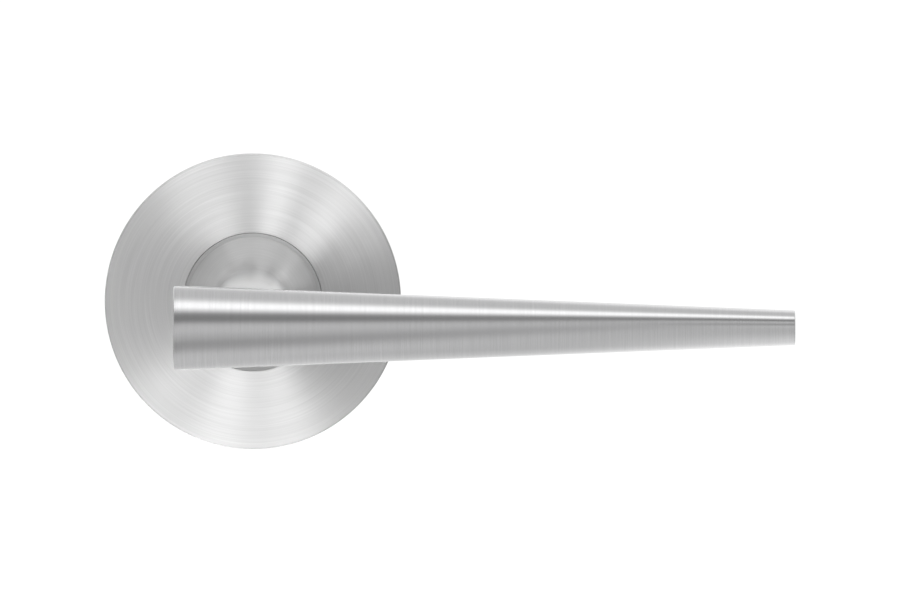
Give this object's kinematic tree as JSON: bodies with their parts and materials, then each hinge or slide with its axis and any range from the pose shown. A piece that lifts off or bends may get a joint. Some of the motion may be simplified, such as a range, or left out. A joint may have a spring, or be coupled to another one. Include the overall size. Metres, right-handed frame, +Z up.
{
  "type": "door lever handle",
  "caption": "Satin stainless door handle: a straight tapered bar on a flared round neck over a thin flat round rose, with a sprung cassette, square spindle and through-bolts behind.",
  "frame": {"origin": "where the lever's turning axis meets the door's face", "axes": "+X along the lever towards its tip, +Y into the door along the spindle, +Z up"},
  "size_m": [0.1387, 0.1184, 0.06],
  "materials": {
    "satin_grip": "stainless steel, fine brushed round the bar",
    "satin_neck": "stainless steel, fine turned",
    "satin_rose": "stainless steel, fine turned in circles",
    "zinc_casting": "zinc die casting, tumbled",
    "galvanised_plate": "rolled steel, bright zinc plated",
    "zinc_plated_steel": "zinc plated, slightly blue",
    "blackened_steel": "oil blackened",
    "spring_steel": "drawn spring wire",
    "nickel_magnet": "nickel plated",
    "white_acetal": "moulded acetal, natural white"
  },
  "bodies": {
    "cassette": {"cassette_housing": "zinc_casting", "cassette_back_plate": "galvanised_plate", "front_bush": "white_acetal", "rear_bush": "white_acetal", "return_spring": "spring_steel", "stop_pins": "blackened_steel", "cover_magnets": "nickel_magnet", "back_plate_screws": "zinc_plated_steel", "through_bolts": "zinc_plated_steel"},
    "lever": {"lever_grip": "satin_grip", "lever_neck": "satin_neck", "grub_screw": "blackened_steel", "spindle": "zinc_plated_steel", "drive_cam": "blackened_steel", "circlip": "blackened_steel", "thrust_washer": "galvanised_plate", "wave_washer": "spring_steel"},
    "rose": {"rose_cover": "satin_rose", "keeper_ring": "galvanised_plate", "glide_ring": "white_acetal"}
  },
  "joints": [
    {"name": "lever_turn", "type": "hinge", "parent": "cassette", "child": "lever", "pos_m": [0, 0, 0], "axis": [0, 1, 0], "range_deg": [0, 45], "stiffness_Nm_per_rad": 0.9, "springref_deg": -28.65, "deforming": ["return_spring"]},
    {"name": "rose_slide", "type": "slide", "parent": "cassette", "child": "rose", "axis": [0, -1, 0], "range_m": [0, 0.0385]}
  ]
}
